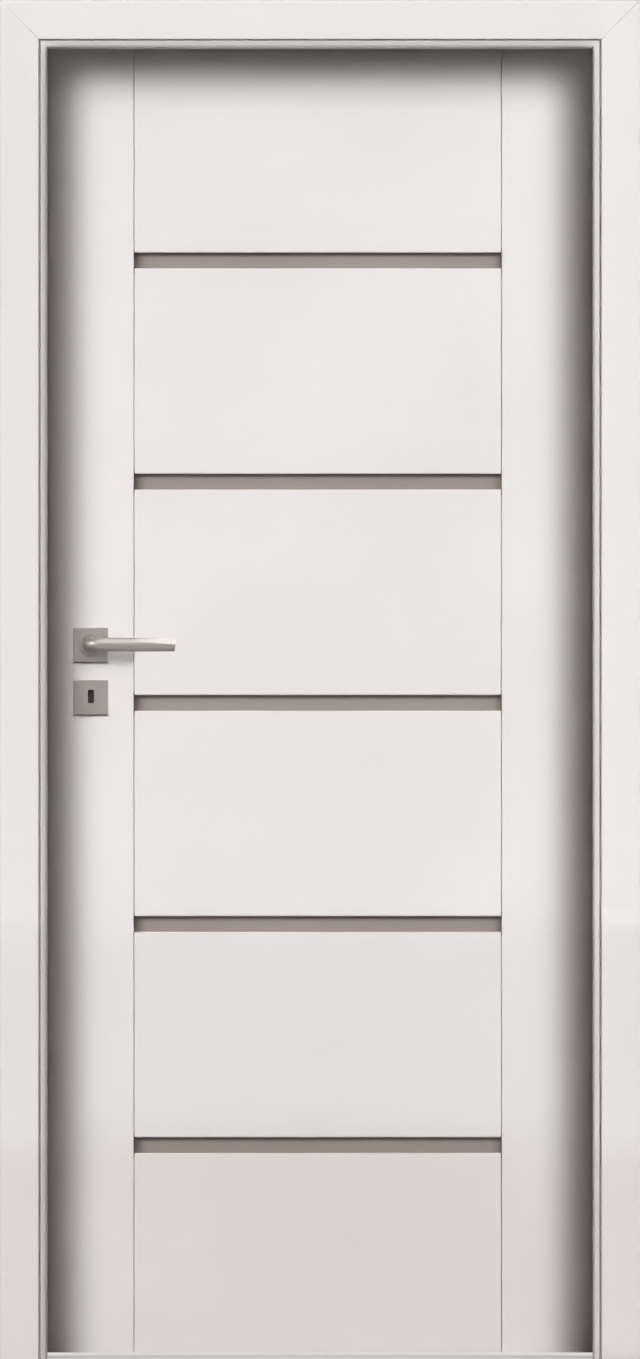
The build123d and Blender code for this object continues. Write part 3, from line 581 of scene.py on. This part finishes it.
# Beside the lever the louvres are split, because its shadow falls softly on the stile and not on the panels
LEVER_REACH = 0.13
STILE_SHADOW = 0.68
BODIES = frame["record"]["behaviour"]["bodies"]
LEAF_NODES = BODIES["leaf"] + BODIES["handle"]
PANEL_NODES = [node for node in LEAF_NODES if node.startswith("panel_")]
GLASS_NODES = [node for node in LEAF_NODES if node.startswith("glass_strip_")]
STILE_NODES = [node for node in LEAF_NODES if node not in PANEL_NODES and node not in GLASS_NODES]
WHOLE_LEAF = linked("whole_leaf", LEAF_NODES)
ALL_BUT_GLASS = linked("all_but_glass", PANEL_NODES + STILE_NODES)
PANELS = linked("panels", PANEL_NODES)
AROUND_PANELS = linked("around_panels", STILE_NODES)
NO_LEVER_SHADOW = linked("no_lever_shadow", ["lever_front"], "EXCLUDE")
NO_HEAD_SHADOW = linked("no_head_shadow", ["lining_head", "front_casing_head"], "EXCLUDE")


def softbox_louvre(name, low_z, high_z):
    """Lights the leaf from low_z to high_z. A level is in watts for each square metre of lamp."""
    left, right = OPENING_LEFT_X + SOFTBOX_LEFT_INSET, OPENING_RIGHT_X - SOFTBOX_RIGHT_INSET
    target = ((left + right) / 2, LEAF_FRONT_Y, (low_z + high_z) / 2)
    lift = SOFTBOX_DISTANCE * math.tan(SOFTBOX_TILT)
    place = (target[0], LEAF_FRONT_Y - SOFTBOX_DISTANCE, target[2] + lift)
    size = (right - left, (high_z - low_z) * math.cos(SOFTBOX_TILT))
    share, colour = zone(target[2])
    splits = [(ALL_BUT_GLASS, 1.0, None)]
    if target[2] > TOP_LOUVRE_Z:
        share = TOP_LOUVRE_SHARE
        splits = [(ALL_BUT_GLASS, 1.0, NO_HEAD_SHADOW)]
    watts = LEAF_LEVEL * share * size[0] * size[1]
    if abs(place[2] - LEVER_Z) < LEVER_REACH:
        splits = [
            (PANELS, 1.0, NO_LEVER_SHADOW),
            (AROUND_PANELS, STILE_SHADOW, None),
            (AROUND_PANELS, 1.0 - STILE_SHADOW, NO_LEVER_SHADOW),
        ]
    for receivers, part, blockers in splits:
        louvre = lamp(name, place, target, size, watts * part, SOFTBOX_BEAM, colour)
        louvre.light_linking.receiver_collection = receivers
        louvre.light_linking.blocker_collection = blockers


softbox_top_z = OPENING_TOP_Z - SOFTBOX_TOP_INSET
louvre_height = (softbox_top_z - BELOW_FLOOR_Z) / LOUVRES
for number in range(LOUVRES):
    louvre_z = BELOW_FLOOR_Z + number * louvre_height
    softbox_louvre(f"softbox_louvre_{number + 1}", louvre_z, louvre_z + louvre_height)

# Each glass strip has a short louvre of its own close before it, which leaves the strip's two ends darker
GLASS_LIGHT_DISTANCE = 0.04
GLASS_LIGHT_HEIGHT = 0.07
GLASS_LEVEL = 3.3
GLASS_LEFT_INSET = 0.009
GLASS_RIGHT_INSET = 0.004
GLASS_LEFT_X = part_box("lock_stile")[1].x + GLASS_LEFT_INSET
GLASS_RIGHT_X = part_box("hinge_stile")[0].x - GLASS_RIGHT_INSET
for node in GLASS_NODES:
    target = ((GLASS_LEFT_X + GLASS_RIGHT_X) / 2, LEAF_FRONT_Y, middle_z(node))
    lift = GLASS_LIGHT_DISTANCE * math.tan(SOFTBOX_TILT)
    place = (target[0], LEAF_FRONT_Y - GLASS_LIGHT_DISTANCE, target[2] + lift)
    share, colour = zone(target[2])
    size = (GLASS_RIGHT_X - GLASS_LEFT_X, GLASS_LIGHT_HEIGHT)
    watts = GLASS_LEVEL * share * size[0] * size[1]
    light = lamp(f"light_{node}", place, target, size, watts, SOFTBOX_BEAM, colour)
    light.light_linking.receiver_collection = linked(f"only_{node}", [node])
    light.light_linking.blocker_collection = WHOLE_LEAF

# Light for the leaf when it stands open beside the frame. It misses the closed leaf.
OPEN_LEAF_LOW_X = 0.20
OPEN_LEAF_HIGH_X = 1.0
OPEN_LEAF_DISTANCE = 1.0
OPEN_LEAF_SHARE = 0.8
OPEN_LEAF_BEAM = 16
open_leaf_target = ((OPEN_LEAF_LOW_X + OPEN_LEAF_HIGH_X) / 2, LEAF_FRONT_Y, OPENING_TOP_Z / 2)
open_leaf_place = (open_leaf_target[0], LEAF_FRONT_Y - OPEN_LEAF_DISTANCE, open_leaf_target[2])
open_leaf_size = (OPEN_LEAF_HIGH_X - OPEN_LEAF_LOW_X, OPENING_TOP_Z)
open_leaf_watts = OPEN_LEAF_SHARE * LEAF_LEVEL * open_leaf_size[0] * open_leaf_size[1]
open_leaf = lamp(
    "open_leaf",
    open_leaf_place,
    open_leaf_target,
    open_leaf_size,
    open_leaf_watts,
    OPEN_LEAF_BEAM,
)
open_leaf.light_linking.receiver_collection = WHOLE_LEAF

# Gridded strip lights close to the casings. They light the frame alone, so the leaf's edges stay dark.
STRIP_DISTANCE = 0.10
STRIP_BEAM = 20
LEFT_STRIP_WIDTH = 0.067
RIGHT_STRIP_WIDTH = 0.072
TOP_STRIP_WIDTH = 0.068
STRIP_OVERHANG = 0.03
LEFT_LEVEL = 2.92
RIGHT_LEVEL = 2.75
TOP_LEVEL = 2.95
FRAME_ONLY = linked("frame_only", BODIES["frame"])


def strip_light(name, level, low, high):
    """A narrow gridded light before one stretch of casing, from its low to its high corner in x and z."""
    place = ((low[0] + high[0]) / 2, FRONT_FACE_Y - STRIP_DISTANCE, (low[1] + high[1]) / 2)
    size = (high[0] - low[0], high[1] - low[1])
    share, colour = zone(place[2])
    watts = level * share * size[0] * size[1]
    light = lamp(name, place, (place[0], FRONT_FACE_Y, place[2]), size, watts, STRIP_BEAM, colour)
    light.light_linking.receiver_collection = FRAME_ONLY
    light.light_linking.blocker_collection = FRAME_ONLY


UPPER_END = CASING_HIGH.z + STRIP_OVERHANG
for side, level, low_x, high_x in (
    ("left", LEFT_LEVEL, CASING_LOW.x - STRIP_OVERHANG, CASING_LOW.x + LEFT_STRIP_WIDTH),
    ("right", RIGHT_LEVEL, CASING_HIGH.x - RIGHT_STRIP_WIDTH, CASING_HIGH.x + STRIP_OVERHANG),
):
    strip_light(f"casing_{side}_upper", level, (low_x, UPPER_STRIP_Z), (high_x, UPPER_END))
    strip_light(f"casing_{side}_middle", level, (low_x, LOWER_STRIP_Z), (high_x, UPPER_STRIP_Z))
    strip_light(f"casing_{side}_lower", level, (low_x, BELOW_FLOOR_Z), (high_x, LOWER_STRIP_Z))
strip_light(
    "casing_top",
    TOP_LEVEL,
    (CASING_LOW.x + LEFT_STRIP_WIDTH, CASING_HIGH.z - TOP_STRIP_WIDTH),
    (CASING_HIGH.x - RIGHT_STRIP_WIDTH, UPPER_END),
)

# A high key from the upper right, and soft light for the edges, the top and the pull side
SOFT_BEAM = 110
lamp("key", (CENTRE_X + 0.9, -3.0, 3.6), (CENTRE_X, 0, 1.1), (0.6, 0.6), watts=2)
lamp("back_key", (CENTRE_X - 2.5, 3.5, 3.4), (CENTRE_X, 0, 1.0), (2.0, 2.0), watts=44, beam=SOFT_BEAM)
lamp("back_fill", (CENTRE_X + 3.0, 3.0, 1.5), (CENTRE_X, 0, 1.0), (2.0, 2.0), watts=24, beam=SOFT_BEAM)
lamp("hinge_side", (CENTRE_X + 3.5, 0.4, 1.6), (CENTRE_X, 0.4, 1.3), (0.8, 2.0), watts=16, beam=SOFT_BEAM)
lamp("lock_side", (CENTRE_X - 3.5, 0.4, 1.6), (CENTRE_X, 0.4, 1.3), (0.8, 2.0), watts=16, beam=SOFT_BEAM)
lamp("overhead", (CENTRE_X, 0.5, 4.2), (CENTRE_X, 0.1, 0), (1.6, 0.8), watts=40)

# Glints: soft lights for the lever set alone, which show only as reflections in its metal
SUBPARTS = frame["record"]["subparts"]
NICKEL_NODES = [part["node"] for part in SUBPARTS if part["material_slot"] == "satin_nickel"]
LEVER_SET = linked("lever_set", NICKEL_NODES)
LEVER_PLACE = Vector((LEVER_X, (FRONT_FACE_Y + LEAF_FRONT_Y) / 2, LEVER_Z))
COOL = (0.90, 0.96, 1.0)


def glint(name, offset, size, watts, aim=(0, 0, 0), beam=180):
    """A glint, placed from the lever's axis. The frame doesn't shade it."""
    place, target = LEVER_PLACE + Vector(offset), LEVER_PLACE + Vector(aim)
    light = lamp(name, place, target, (size, size), watts, beam, COOL)
    light.visible_glossy = True
    light.visible_diffuse = False
    light.light_linking.receiver_collection = LEVER_SET
    light.light_linking.blocker_collection = WHOLE_LEAF


glint("glint_above", (0.05, 0, 0.5), size=0.32, watts=1.2)
glint("glint_lever_end", (0.13, 0, 0.24), size=0.06, watts=0.0062, aim=(0.12, 0, 0), beam=34)
glint("glint_front", (0.1, -0.7, 0.7), size=0.4, watts=2.5)
glint("glint_lock_side", (-0.75, -0.55, 0.4), size=0.5, watts=6.0)
glint("glint_neck", (-0.6, -0.12, 0.25), size=0.3, watts=1.2)
glint("glint_hinge_side", (0.6, 0, 0.05), size=0.25, watts=1.2)

bpy.context.scene.view_settings.view_transform = "Standard"
